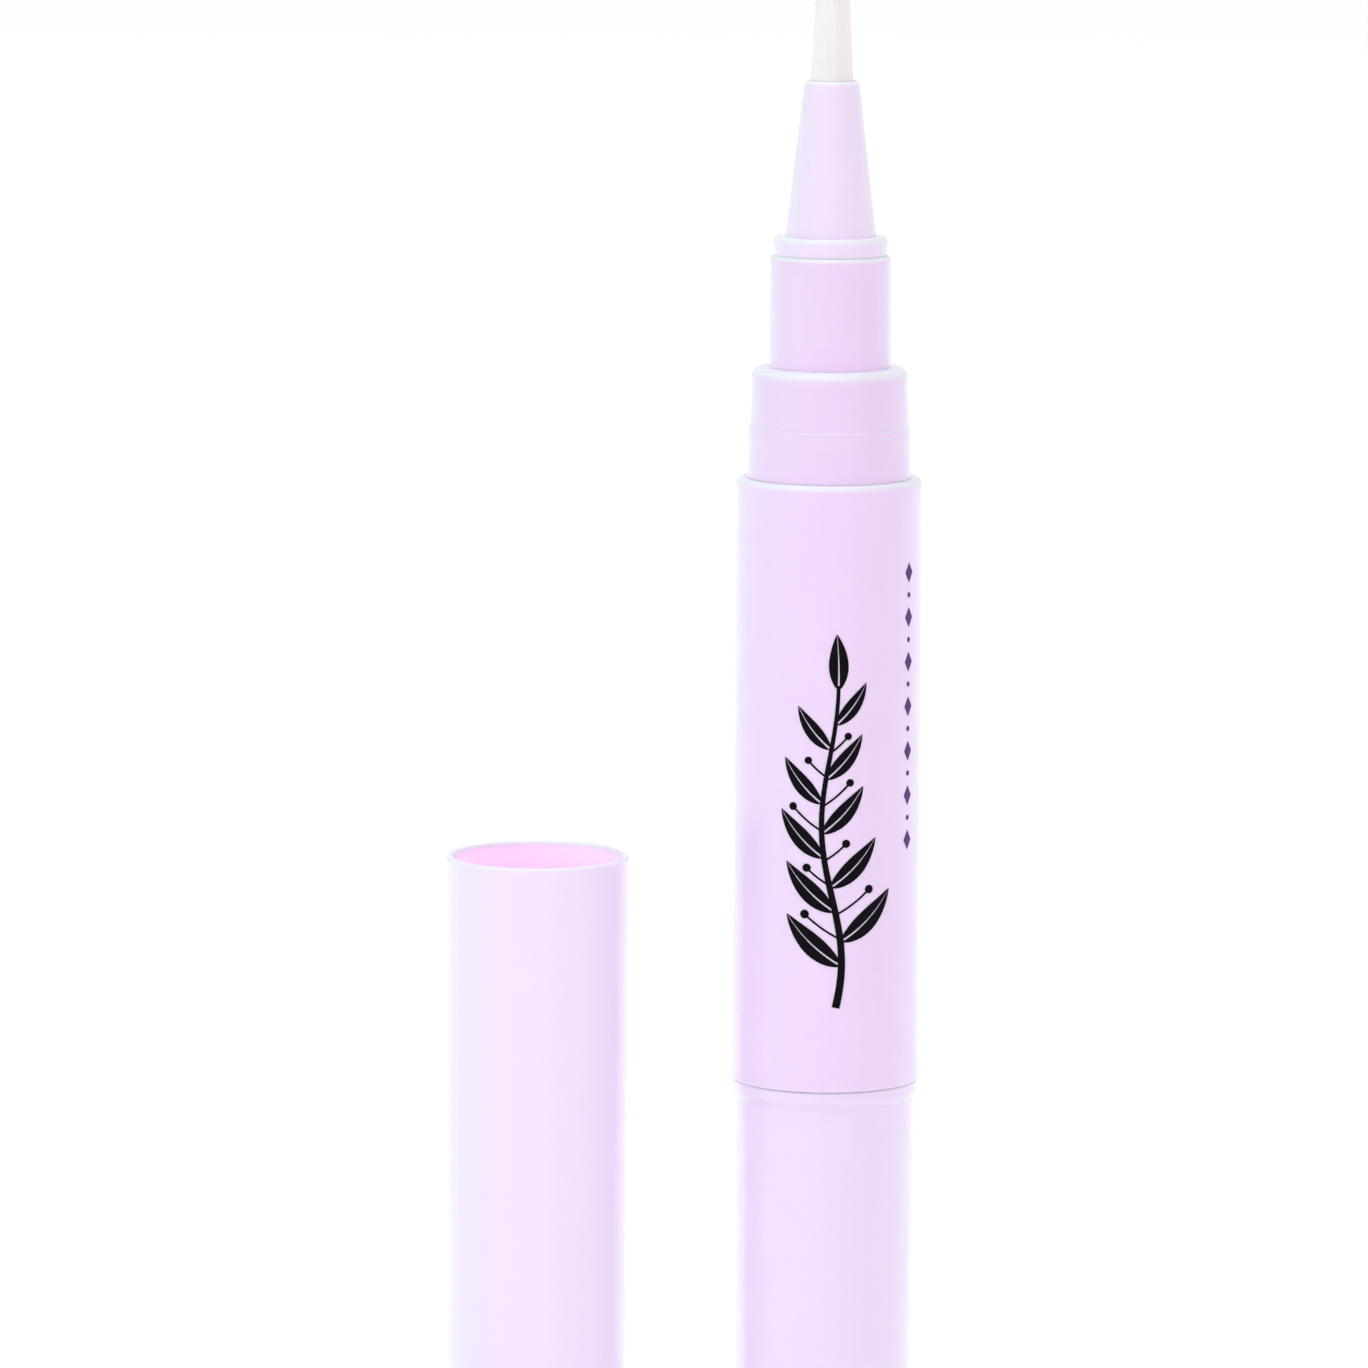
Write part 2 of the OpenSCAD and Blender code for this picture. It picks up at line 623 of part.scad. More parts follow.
// Knob that the thumb turns, closed at the tail and ribbed inside
module knob() color(lilac) {
    step_z = knob_len - knob_collar_h - knob_step_h;
    groove_z = skirt_z + snap_rise - snap_gap;
    groove_w = snap_w + 2 * snap_gap;
    difference() {
        turned(concat(
            [[0, 0]],
            arc([knob_tail_r - tail_round, tail_round], tail_round, -90, 0),
            soft_step(knob_body_r, knob_collar_r, step_z, knob_step_h),
            [[knob_collar_r, knob_len - seam_round], [knob_collar_r - seam_round, knob_len], [0, knob_len]]));
        turned([[0, knob_floor], [knob_bore_r, knob_floor], [knob_bore_r, groove_z],
            [knob_bore_r + snap_proud, groove_z + groove_w / 4],
            [knob_bore_r + snap_proud, groove_z + groove_w * 3 / 4],
            [knob_bore_r, groove_z + groove_w], [knob_bore_r, knob_len + overrun], [0, knob_len + overrun]]);
    }
    ribs_round(knob_ribs, knob_bore_r - knob_rib_h, knob_bore_r + overrun, knob_rib_w,
        knob_floor - overrun, knob_rib_len + overrun);
}

// Double-D shape of the lead screw's flats, as the hole that slides over them
module double_d(z, h) {
    translate([0, 0, z]) intersection() {
        cylinder(r = double_d_r, h = h);
        translate([-double_d_r, -double_d_flat, 0]) cube([2 * double_d_r, 2 * double_d_flat, h]);
    }
}

// Sleeve keyed into the knob, which turns the lead screw by its flats and carries the click ring
module drive_sleeve() color(white) {
    foot_r = knob_bore_r - snug;
    difference() {
        union() {
            translate([0, 0, sleeve_z]) cylinder(r = foot_r, h = sleeve_foot_h);
            translate([0, 0, sleeve_z]) cylinder(r = sleeve_r, h = sleeve_top_z - sleeve_z);
            translate([0, 0, click_z - shelf_h]) cylinder(r = sleeve_r + shelf_w, h = shelf_h);
            ribs_round(2, sleeve_r - overrun, sleeve_r + spline_h, spline_w, click_z, click_h);
        }
        ribs_round(knob_ribs, knob_bore_r - knob_rib_h - snug, knob_bore_r + overrun, knob_rib_w + 2 * snug,
            sleeve_z - overrun, sleeve_foot_h + 2 * overrun);
        double_d(sleeve_z - overrun, sleeve_top_z - sleeve_z + 2 * overrun);
    }
}

// One springy arm of the click ring, from its root on the hub back to the pawl that lies in a tooth
module click_arm() {
    back = pawl_back_share * tooth_angle;
    linear_extrude(click_h) {
        polygon(concat(
            arc([0, 0], arm_out_r, back, arm_sweep, arm_bands),
            arc([0, 0], arm_in_r, arm_sweep, back, arm_bands)));
        polygon(concat(
            arc([0, 0], arm_out_r, arm_sweep - arm_root_sweep, arm_sweep, 2),
            arc([0, 0], (click_in_r + hub_r) / 2, arm_sweep, arm_sweep - arm_root_sweep, 2)));
        polygon([for (p = [
                [tooth_root_r - pawl_gap - tooth_depth * pawl_back_share, back],
                [tooth_root_r - pawl_gap - tooth_depth * pawl_slope_share, pawl_slope_share * tooth_angle],
                [arm_in_r, pawl_tip_share * tooth_angle],
                [arm_in_r, back]])
            p[0] * [cos(p[1]), sin(p[1])]]);
    }
}

// Ring with two springy arms that click over the ratchet teeth as the knob turns
module click_ring() color(white) {
    translate([0, 0, click_z]) {
        difference() {
            union() {
                ring(click_in_r, hub_r, 0, click_h);
                for (i = [0, 1]) rotate(180 * i) click_arm();
            }
            ribs_round(2, sleeve_r - overrun, sleeve_r + spline_h + snug, spline_w + 2 * snug,
                -overrun, click_h + 2 * overrun);
        }
    }
}

// Threaded rod with two flats, and a head that snaps into the piston
module lead_screw() color(white) {
    translate([0, 0, screw_z]) thread(screw_len, screw_core_r, screw_r, screw_core_r, 0);
    translate([0, 0, screw_top_z - overrun])
        cylinder(r = screw_neck_r, h = head_z - screw_top_z + 2 * overrun);
    translate([0, 0, head_z]) cylinder(r = screw_head_r, h = screw_head_h);
}

// Plunger with a lip at each end, which pushes the oil forward
module piston() color(clear_white) {
    top_z = piston_z + piston_len;
    waist_r = piston_r - waist_inset;
    difference() {
        turned([[0, piston_z], [piston_r, piston_z], [piston_r, piston_z + lip_w],
            [waist_r, piston_z + lip_w + waist_inset], [waist_r, top_z - lip_w - waist_inset],
            [piston_r, top_z - lip_w], [piston_r, top_z], [waist_r, top_z],
            [waist_r - dish_depth, top_z - dish_depth], [0, top_z - dish_depth]]);
        translate([0, 0, piston_z - overrun]) cylinder(r = socket_mouth_r, h = socket_rise + 2 * overrun);
        translate([0, 0, piston_z + socket_rise])
            cylinder(r = socket_r, h = screw_head_h + 2 * running);
    }
}

// Outer cap with a thin rounded rim, closed end down, and a step inside that stops the liner
module cap_shell() color(lilac) {
    rim_r = cap_wall / 2;
    translate([cap_x, 0, 0]) turned(concat(
        [[0, 0]],
        arc([cap_end_r - cap_end_round, cap_end_round], cap_end_round, -90, 0),
        arc([cap_mouth_r - rim_r, cap_len - rim_r], rim_r, 0, 180),
        [[cap_bore_r, cap_step_z], [cap_deep_r, cap_step_z], [cap_deep_r, cap_floor], [0, cap_floor]]));
}

// Liner that grips the narrow neck step when the cap is on, and keeps the brush from drying
module inner_cap() color(clear_white) {
    rib_r = cap_deep_r - snug;
    rib_z = liner_end_z + liner_wall;
    stub_z = cap_floor + running;
    collar_z = cap_step_z + running;
    translate([cap_x, 0, 0]) {
        difference() {
            union() {
                turned([[0, stub_z], [stub_d / 2, stub_z], [stub_d / 2, liner_end_z],
                    [well_r + liner_wall, liner_end_z], [well_r + liner_wall, grip_end_z - liner_wall],
                    [grip_r + liner_wall, grip_end_z - liner_wall], [grip_r + liner_wall, collar_z],
                    [cap_bore_r - snug, collar_z], [cap_bore_r - snug, collar_z + liner_collar_h],
                    [0, collar_z + liner_collar_h]]);
                ribs_round(liner_ribs, well_r + liner_wall / 2, rib_r, liner_rib_w,
                    rib_z, collar_z - rib_z + overrun);
            }
            translate([0, 0, rib_z]) cylinder(r = well_r, h = cap_step_z - liner_end_z);
            translate([0, 0, grip_end_z]) cylinder(r = grip_r, h = cap_len - grip_end_z);
        }
    }
}

barrel();
neck_collar();
neck_seal();
nozzle();
pipe_holder();
feed_pipe();
brush();
screw_nut();
knob();
drive_sleeve();
click_ring();
lead_screw();
piston();
cap_shell();
inner_cap();
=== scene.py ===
import math
import random

import bmesh
import bpy
from mathutils import Matrix, Vector


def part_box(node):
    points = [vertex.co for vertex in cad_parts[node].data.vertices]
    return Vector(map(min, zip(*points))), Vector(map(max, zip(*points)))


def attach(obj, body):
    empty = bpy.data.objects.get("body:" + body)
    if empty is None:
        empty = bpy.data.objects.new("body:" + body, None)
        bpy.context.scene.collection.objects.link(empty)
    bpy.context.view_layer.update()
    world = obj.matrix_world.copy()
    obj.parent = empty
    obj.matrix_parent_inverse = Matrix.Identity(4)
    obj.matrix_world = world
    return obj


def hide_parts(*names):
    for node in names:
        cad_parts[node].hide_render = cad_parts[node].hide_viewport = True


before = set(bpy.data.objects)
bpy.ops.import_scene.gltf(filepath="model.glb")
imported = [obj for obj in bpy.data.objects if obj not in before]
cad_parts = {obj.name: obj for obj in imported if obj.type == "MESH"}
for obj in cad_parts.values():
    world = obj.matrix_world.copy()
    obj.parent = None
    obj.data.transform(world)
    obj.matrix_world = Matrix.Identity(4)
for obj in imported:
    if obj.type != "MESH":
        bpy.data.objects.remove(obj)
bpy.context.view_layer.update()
scene = bpy.context.scene
mm = 0.001


# Camera
# A long lens, a little above the pen and looking slightly down at it. It stands upright in the frame, which
# cuts off the brush's tip and both tails.
frame_px = 1368
focal_px = 8406
look_down = math.radians(8.17)
lean = math.radians(0.28)
camera_at = Vector((-10.92, -633, 157.15)) * mm

camera = bpy.data.objects.new("camera", bpy.data.cameras.new("camera"))
camera.data.sensor_width = 36
camera.data.lens = camera.data.sensor_width * focal_px / frame_px
tilt, roll = Matrix.Rotation(math.pi / 2 - look_down, 4, "X"), Matrix.Rotation(lean, 4, "Z")
camera.matrix_world = Matrix.Translation(camera_at) @ tilt @ roll
scene.collection.objects.link(camera)
scene.camera = camera


# Barrel
# The tube that holds the oil: opaque lilac polypropylene, injection moulded, with a satin gloss straight
# from the tool. Fine flow lines run along it, and its skin has the faint orange peel of a moulding.
class Wire:
    """A value in a finish's node tree. Python's operators on it add Math nodes."""

    def __init__(self, tree, socket=None):
        self.tree, self.socket = tree, socket

    def node(self, kind, settings=(), sockets=(), out=0):
        """Any node, with its settings first and then the values or links of its sockets."""
        made = self.tree.nodes.new("ShaderNode" + kind)
        for name, value in dict(settings).items():
            setattr(made, name, value)
        for name, value in dict(sockets).items():
            if isinstance(value, Wire):
                self.tree.links.new(value.socket, made.inputs[name])
            else:
                made.inputs[name].default_value = value
        return Wire(self.tree, made.outputs[out] if made.outputs else None)

    def math(self, operation, *values):
        return self.node("Math", {"operation": operation}, enumerate(values))

    def vector(self, operation, *values, out=0):
        return self.node("VectorMath", {"operation": operation}, enumerate(values), out)

    def mix(self, share, first, second):
        """The first colour where share is 0, the second where it is 1."""
        first, second = (c if isinstance(c, Wire) else (*c, 1) for c in (first, second))
        return self.node("Mix", {"data_type": "RGBA"}, {0: share, 6: first, 7: second}, 2)

    def ramp(self, low, high):
        """0 where this value is low or less, 1 where it is high or more."""
        return self.node("MapRange", {}, {"Value": self, "From Min": low, "From Max": high})

    def along(self, axis):
        """The length of this vector along x, y or z, for axis 0, 1 or 2."""
        return self.node("SeparateXYZ", {}, {"Vector": self}, axis)

    def noise(self, place, scale, detail=2.0):
        """Noise whose grain is scale to the metre, along each axis."""
        stretched = self.node("Mapping", {}, {"Vector": place, "Scale": scale})
        return self.node("TexNoise", {}, {"Vector": stretched, "Scale": 1.0, "Detail": detail})

    def __add__(self, other):
        return self.math("ADD", self, other)

    def __sub__(self, other):
        return self.math("SUBTRACT", self, other)

    def __rsub__(self, other):
        return self.math("SUBTRACT", other, self)

    def __mul__(self, other):
        return self.math("MULTIPLY", self, other)

    __radd__ = __add__
    __rmul__ = __mul__


def new_finish(name):
    """An empty finish, the start of its node tree, and places on the piece in metres."""
    finish = bpy.data.materials.new(name)
    finish.use_nodes = True
    finish.node_tree.nodes.clear()
    tree = Wire(finish.node_tree)
    return finish, tree, tree.node("TexCoord", out="Object")


def skin(tree, place, scale, height, strength):
    """The fine unevenness of a moulded or printed skin, height metres deep."""
    grain = tree.noise(place, (scale,) * 3)
    return tree.node("Bump", {}, {"Height": grain, "Strength": strength, "Distance": height})


def dressed(finish, tree, **sockets):
    """Ends a finish with its shader. Underscores in the sockets' names stand for spaces."""
    shader = tree.node("BsdfPrincipled", {}, {k.replace("_", " "): v for k, v in sockets.items()})
    tree.node("OutputMaterial", {}, {"Surface": shader})
    return finish


# The pale colour of painted highlights: on rounded edges that look up, and round the inside of a thin wall's
# mouth.
painted_highlight_pale = (0.8, 0.75, 0.81)


def lilac_plastic(name, pale, deep, satin, painted_glow_lining=None):
    """Moulded lilac polypropylene. Colour and gloss drift a little along the flow. Rounded edges that look
    up are painted paler, a painted highlight for the light from above, and lose their coat, so they are
    duller.
    The last argument, if given, holds the painted colour of a thin wall's inside and a painted glow for the
    light that soaks through to it, with the middle of its mouth and the radius of its bore. Close to the
    mouth the inside is painted pale instead, a painted highlight on the rim."""
    finish, tree, place = new_finish(name)
    flow = tree.noise(place, (700, 700, 30), 3.0)
    drift = tree.noise(place, (90, 90, 60))
    colour = tree.mix(flow * 0.6 + drift * 0.4, pale, deep)
    upward = tree.node("TexCoord", out="Normal").along(2)
    # Painted highlight: the share of a rounded edge that looks up is painted pale; flat tops and walls keep
    # their colour.
    painted_highlight_share = upward.ramp(0.08, 0.55) * (1 - upward.ramp(0.92, 0.995))
    colour = tree.mix(painted_highlight_share, colour, painted_highlight_pale)
    painted_glow = (0, 0, 0, 1)
    if painted_glow_lining:
        inside, light, mouth, bore = painted_glow_lining
        # Painted light inside a thin wall's bore: the wall there is painted a brighter pink and made to
        # glow, for the light that soaks through it and bounces inside. Near the mouth it is painted pale, a
        # painted highlight on the rim.
        out = tree.vector("SUBTRACT", place, mouth)
        far = tree.vector("LENGTH", tree.vector("MULTIPLY", out, (1, 1, 0)), out=1)
        lined = far.math("LESS_THAN", far, bore)
        deep_in = (out.along(2) * -1).ramp(0.15 * mm, 0.6 * mm)
        colour = tree.mix(lined, colour, tree.mix(deep_in, painted_highlight_pale, inside))
        painted_glow = tree.mix(lined * deep_in, (0, 0, 0), light)
    return dressed(
        finish,
        tree,
        Base_Color=colour,
        Roughness=satin + flow * 0.06 + drift * 0.04,
        Normal=skin(tree, place, 4200, 0.003 * mm, 0.4),
        IOR=1.49,
        Coat_Weight=1 - painted_highlight_share,
        Coat_Roughness=0.16,
        Subsurface_Weight=0.0 if painted_glow_lining else 0.7,
        Subsurface_Radius=(1, 1, 1),
        Subsurface_Scale=0.3 * mm,
        Sheen_Weight=0.25,
        Sheen_Roughness=0.8,
        Sheen_Tint=(0.6, 1, 0.95, 1),
        Emission_Color=painted_glow,
        Emission_Strength=1.0 if painted_glow_lining else 0.0,
    )


def put_on(node, finish):
    """Gives a solid of the frame its finish."""
    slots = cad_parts[node].data.materials
    slots.clear()
    slots.append(finish)


put_on("barrel", lilac_plastic("barrel_lilac", (0.868, 0.653, 0.886), (0.852, 0.626, 0.866), 0.34))


# Print on the barrel
# A leaf sprig that climbs the front of the barrel in black screen-printing ink, and a slim column of
# lozenges and dots beside it in dark violet. The ink lies on the plastic as a thin raised film.
rear_r, front_r = 7.22, 7.07
seam_z, shoulder_z = (corner.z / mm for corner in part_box("barrel"))
ink_top, ink_foot, same_point = 0.014, -0.006, 0.0002


def on_barrel(around, z, lift):
    """The point that lies around mm to the right of the front and z mm up, wrapped on the barrel."""
    r = rear_r + (front_r - rear_r) * (z - seam_z) / (shoulder_z - seam_z)
    a = around / r
    return Vector(((r + lift) * math.sin(a), -(r + lift) * math.cos(a), z)) * mm


def inked(name, patches, finish):
    """Films of ink, each from a grid of flat points, wrapped on the barrel."""
    made = bmesh.new()
    for rows in patches:
        tall, wide = len(rows), len(rows[0])
        top = [[made.verts.new(on_barrel(*p, ink_top)) for p in row] for row in rows]
        foot = [[made.verts.new(on_barrel(*p, ink_foot)) for p in row] for row in rows]
        for i in range(tall - 1):
            for j in range(wide - 1):
                made.faces.new((top[i][j], top[i][j + 1], top[i + 1][j + 1], top[i + 1][j]))
                made.faces.new((foot[i][j], foot[i + 1][j], foot[i + 1][j + 1], foot[i][j + 1]))
        border = [(0, j) for j in range(wide)] + [(i, wide - 1) for i in range(1, tall)]
        border += [(tall - 1, j) for j in range(wide - 2, -1, -1)] + [(i, 0) for i in range(tall - 2, 0, -1)]
        for (i, j), (k, m) in zip(border, border[1:] + border[:1]):
            made.faces.new((top[i][j], foot[i][j], foot[k][m], top[k][m]))
    bmesh.ops.remove_doubles(made, verts=made.verts, dist=same_point * mm)
    bmesh.ops.recalc_face_normals(made, faces=made.faces)
    mesh = bpy.data.meshes.new(name)
    made.to_mesh(mesh)
    made.free()
    mesh.materials.append(finish)
    piece = bpy.data.objects.new(name, mesh)
    scene.collection.objects.link(piece)
    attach(piece, "barrel")


def stroke(spine, low, high, across=3):
    """A patch along a spine of points, from low to high mm to the side of it. Both are functions of the
    share of the way along."""
    rows = []
    for i, p in enumerate(spine):
        before, after = spine[max(i - 1, 0)], spine[min(i + 1, len(spine) - 1)]
        along = Vector((after[0] - before[0], after[1] - before[1])).normalized()
        t = i / (len(spine) - 1)
        sides = [low(t) + (high(t) - low(t)) * k / (across - 1) for k in range(across)]
        rows.append([(p[0] + along.y * s, p[1] - along.x * s) for s in sides])
    return rows


def bow(start, heading, length, bend, steps=16):
    """Points along a bow that sets off at heading degrees from straight up and turns by bend degrees."""
    points, at = [start], Vector(start)
    for i in range(steps):
        a = math.radians(heading + bend * (i + 0.5) / steps)
        at = at + Vector((math.sin(a), math.cos(a))) * length / steps
        points.append((at.x, at.y))
    return points


rib_half, rib_thins = 0.02, 0.055
leaf_widest, leaf_full = 0.82, 0.85


def leaf(start, heading, length, width, bend):
    """Two halves of a leaf, with the midrib left bare between them."""
    spine = bow(start, heading, length, bend)

    def half(t):
        return 0.5 * width * math.sin(math.pi * t**leaf_widest) ** leaf_full if 0 < t < 1 else 0

    def rib(t):
        return min(rib_thins * (1 - t) + rib_half, half(t))

    return [stroke(spine, rib, half, 5), stroke(spine, lambda t: -half(t), lambda t: -rib(t), 5)]


def disc(at, r, steps=12):
    """A round dot."""
    spine = [(at[0], at[1] - r * math.cos(math.pi * i / steps)) for i in range(steps + 1)]

    def half(t):
        return r * math.sin(math.pi * t)

    return stroke(spine, lambda t: -half(t), half, 5)


def printing_ink(name, dark, light):
    """Screen-printing ink: dense, with a slightly uneven gloss."""
    finish, tree, place = new_finish(name)
    mottle = tree.noise(place, (2600,) * 3, 3.0)
    return dressed(
        finish,
        tree,
        Base_Color=tree.mix(mottle, dark, light),
        Roughness=0.42 + mottle * 0.12,
        Normal=skin(tree, place, 9000, 0.002 * mm, 0.3),
        Specular_IOR_Level=0.06,
    )


stem_foot, stem_len, stem_side = 42.6, 24.6, 0.2
sway, sway_turns, sway_start, sway_calms = 0.95, 2.3, 0.5, 0.45
stem_half, stem_thins, stem_steps = 0.3, 0.16, 48
leaf_pairs, first_leaf, leaf_span, right_leaf_up = 5, 0.13, 0.84, 0.45
leaf_len, leaf_width, leaf_shrinks, leaf_opens, leaf_bend = 6.2, 1.75, 0.4, 62, 26
berry_r, stalk_len, stalk_half, stalk_opens, stalk_bend = 0.36, 3.6, 0.075, 66, 16
berry_shrinks, stalk_shrinks, short_stalk = 0.1, 1.3, 0.7
closes_up = 14


def stem_at(t):
    """The point on the stem at a share t of its height."""
    swing = sway * math.sin(sway_turns * math.pi * t + sway_start) * (1 - sway_calms * t)
    return (stem_side + swing, stem_foot + stem_len * t)


def stem_edge(t):
    return stem_half - stem_thins * t


def share_up(i, side):
    """How far up the stem the i-th growth of one side stands. The right side's stand a little higher."""
    return first_leaf + leaf_span * (i + (right_leaf_up if side > 0 else 0)) / leaf_pairs


stem = [stem_at(i / stem_steps) for i in range(stem_steps + 1)]
sprig = [stroke(stem, lambda t: -stem_edge(t), stem_edge)]
for i in range(leaf_pairs):
    for side in (-1, 1):
        t = share_up(i, side)
        size = 1 - leaf_shrinks * t
        heading = side * (leaf_opens - closes_up * t)
        sprig += leaf(stem_at(t), heading, leaf_len * size, leaf_width * size, -side * leaf_bend)
sprig += leaf(stem_at(0.985), heading=2, length=4.3, width=1.5, bend=-8)
for i in range(1, leaf_pairs):
    for side in (-1, 1):
        t = share_up(i - 0.5, side)
        length = (stalk_len - stalk_shrinks * t) * (1 if i % 2 else short_stalk)
        stalk = bow(stem_at(t), side * (stalk_opens - closes_up * t), length, -side * stalk_bend, 10)
        sprig.append(stroke(stalk, lambda t: -stalk_half, lambda t: stalk_half))
        sprig.append(disc(stalk[-1], berry_r - berry_shrinks * t))
inked("print_sprig", sprig, printing_ink("sprig_ink", (0.001, 0.001, 0.002), (0.004, 0.003, 0.006)))

column = []
column_u, column_low, column_high, column_steps = 7.2, 55.0, 75.4, 12
dot_r, lozenge_reach = 0.2, 0.75


def lozenge_edge(t):
    return 0.5 - abs(2 * t - 1) / 2


for i in range(column_steps + 1):
    z = column_low + (column_high - column_low) * i / column_steps
    if i % 2:
        column.append(disc((column_u, z), dot_r))
    else:
        spine = [(column_u, z + lozenge_reach * (k / 6 - 1)) for k in range(13)]
        column.append(stroke(spine, lambda t: -lozenge_edge(t), lozenge_edge))
inked("print_lozenges", column, printing_ink("column_ink", (0.085, 0.045, 0.17), (0.115, 0.065, 0.21)))


# Neck collar and its seal
# One moulding of the same lilac plastic, plugged into the barrel and held there by its seat. The seal is a
# silicone ring in a groove of the plug.
put_on("neck_collar", lilac_plastic("neck_lilac", (0.85, 0.64, 0.862), (0.836, 0.614, 0.844), 0.32))

finish, tree, place = new_finish("seal_rubber")
bloom = tree.noise(place, (900,) * 3)
put_on(
    "neck_seal",
    dressed(
        finish,
        tree,
        Base_Color=tree.mix(bloom, (0.72, 0.74, 0.75), (0.66, 0.68, 0.70)),
        Roughness=0.5 + bloom * 0.15,
        Normal=skin(tree, place, 5000, 0.004 * mm, 0.4),
    ),
)


# Nozzle
# The tapered tip that the brush comes out of, moulded with its flange ring in the same lilac plastic and
# pushed into the neck.
put_on("nozzle", lilac_plastic("nozzle_lilac", (0.872, 0.71, 0.879), (0.858, 0.683, 0.861), 0.32))


# Brush
# Off-white nylon filaments with drawn points, fused at their root into a slice that sits in the nozzle.
# They run together towards the tip, and the outer ones are shorter. Their points are painted paler, a
# painted highlight that lifts the shade between the thin filaments.
mouth_z, tip_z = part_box("nozzle")[1].z / mm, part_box("brush")[1].z / mm
slice_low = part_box("brush")[0].z / mm
slice_h, slice_r, slice_sides = 1.5, 2.455, 64
pipe_hole_r, pipe_clear, root_sunk = 0.65, 1.05, 0.2
# The bundle is brush_r wide at the mouth, would come to a point drawn_over above it, and closes up round the
# axis between the pipe's end and closed_by. Its outermost filaments end at edge_reach.
brush_r, drawn_over = 1.6, 30.2
pipe_reach, closed_by, edge_reach = 1.3, 7.0, 8.2
filament_pitch, filament_r, filament_sides = 0.079, 0.046, 5
least_r, filament_sway = 0.02, 0.02
# How thick a filament is, as a share, at shares of its height above the mouth.
rows_up = (0, 0.2, 0.4, 0.6, 0.75, 0.87, 0.95, 1)
rows_thick = (1, 1, 1, 0.97, 0.92, 0.78, 0.55, 0.2)
draws = random.Random(11)

verts, faces = [], []


def ring_of(at, r, z, sides, turn=0):
    """Adds a level ring of points and gives back their numbers."""
    first = len(verts)
    for k in range(sides):
        a = turn + 2 * math.pi * k / sides
        verts.append(Vector((at[0] + r * math.cos(a), at[1] + r * math.sin(a), z)) * mm)
    return list(range(first, first + sides))


def walls(low, high):
    """Adds the faces between two rings of points."""
    for k in range(len(low)):
        n = (k + 1) % len(low)
        faces.append((low[k], low[n], high[n], high[k]))


slice_rings = [
    ring_of((0, 0), r, z, slice_sides)
    for r, z in (
        (pipe_hole_r, slice_low),
        (slice_r, slice_low),
        (slice_r, slice_low + slice_h),
        (pipe_hole_r, slice_low + slice_h),
    )
]
for low, high in zip(slice_rings, slice_rings[1:] + slice_rings[:1]):
    walls(low, high)

root_z = slice_low + slice_h - root_sunk
inner_r = pipe_hole_r * pipe_clear + filament_r
outer_r = brush_r - filament_r
rings_n = round((outer_r - inner_r) / (filament_pitch * math.sin(math.pi / 3)))


def bundle_r(share, h):
    """How far from the axis a filament stands h mm above the mouth: past the pipe, the bundle closes up."""
    closed = min(max((h - pipe_reach) / (closed_by - pipe_reach), 0), 1)
    closed *= closed * (3 - 2 * closed)
    r = inner_r + (outer_r - inner_r) * share
    return (r + (share * outer_r - r) * closed) * (1 - h / drawn_over)


for ring_n in range(rings_n + 1):
    share = ring_n / rings_n
    count = int(2 * math.pi * (inner_r + (outer_r - inner_r) * share) / filament_pitch)
    start = draws.uniform(0, 1)
    for k in range(count):
        wander, stray = (0, 0.03) if ring_n == rings_n else (0.25, 0.12)
        angle = 2 * math.pi * (k + start + draws.uniform(-stray, stray)) / count
        off = share + draws.uniform(-wander, 0) / rings_n
        lift = draws.uniform(-0.55, 0) if share else draws.uniform(-0.3, 0.2)
        turn, lean_to = draws.uniform(0, 1.2), draws.uniform(-1, 1)
        reach = tip_z - mouth_z - (tip_z - mouth_z - edge_reach) * share**2 + lift
        rings = []
        for up, thick in ((None, 1), *zip(rows_up, rows_thick)):
            h = root_z - mouth_z if up is None else min(reach * up, tip_z - mouth_z)
            r = max(bundle_r(max(off, 0), h), least_r)
            a = angle + filament_sway * lean_to * (up or 0) ** 2 / r
            at = (r * math.cos(a), r * math.sin(a))
            rings.append(ring_of(at, filament_r * thick, mouth_z + h, filament_sides, turn))
        for low, high in zip(rings, rings[1:]):
            walls(low, high)
        faces.append(tuple(reversed(rings[0])))
        faces.append(tuple(rings[-1]))

brush_mesh = bpy.data.meshes.new("brush_filaments")
brush_mesh.from_pydata(verts, [], faces)
brush_mesh.shade_smooth()
brush_mesh.set_sharp_from_angle(angle=math.radians(80))

finish, tree, place = new_finish("nylon")
strand = tree.noise(place, (8000, 8000, 90), 1.0)
# Painted light: from just below where the outer filaments end, the points are painted paler, to lift the
# shade that gathers between the thin filaments.
points_from, points_to = mouth_z + edge_reach - 1, mouth_z + edge_reach + 1
painted_tip_share = place.along(2).ramp(points_from * mm, points_to * mm)
nylon_white, painted_tip_light = tree.mix(strand, (0.935, 0.9, 0.875), (0.915, 0.88, 0.855)), (0.985, 0.975, 0.97)
brush_mesh.materials.append(
    dressed(
        finish,
        tree,
        Base_Color=tree.mix(painted_tip_share, nylon_white, painted_tip_light),
        Roughness=0.5 + strand * 0.12,
        Normal=skin(tree, place, 12000, 0.001 * mm, 0.2),
    )
)
brush = bpy.data.objects.new("brush_filaments", brush_mesh)
scene.collection.objects.link(brush)
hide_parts("brush")
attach(brush, "barrel")


# Pipe holder and feed pipe
# The white plug that holds the brush down on its seat, and the thin milky pipe that it grips, which carries
# the oil into the middle of the brush.
def white_plastic(name, light, dark, satin):
    """Natural white acetal or polypropylene, with the faint clouds of a thick moulding."""
    finish, tree, place = new_finish(name)
    cloud = tree.noise(place, (260, 260, 120), 3.0)
    return dressed(
        finish,
        tree,
        Base_Color=tree.mix(cloud, light, dark),
        Roughness=satin + cloud * 0.1,
        Normal=skin(tree, place, 5200, 0.004 * mm, 0.4),
    )


milky = white_plastic("milky_plastic", (0.86, 0.86, 0.88), (0.80, 0.80, 0.83), 0.36)
put_on("pipe_holder", white_plastic("holder_white", (0.88, 0.88, 0.87), (0.83, 0.83, 0.82), 0.40))
put_on("feed_pipe", milky)


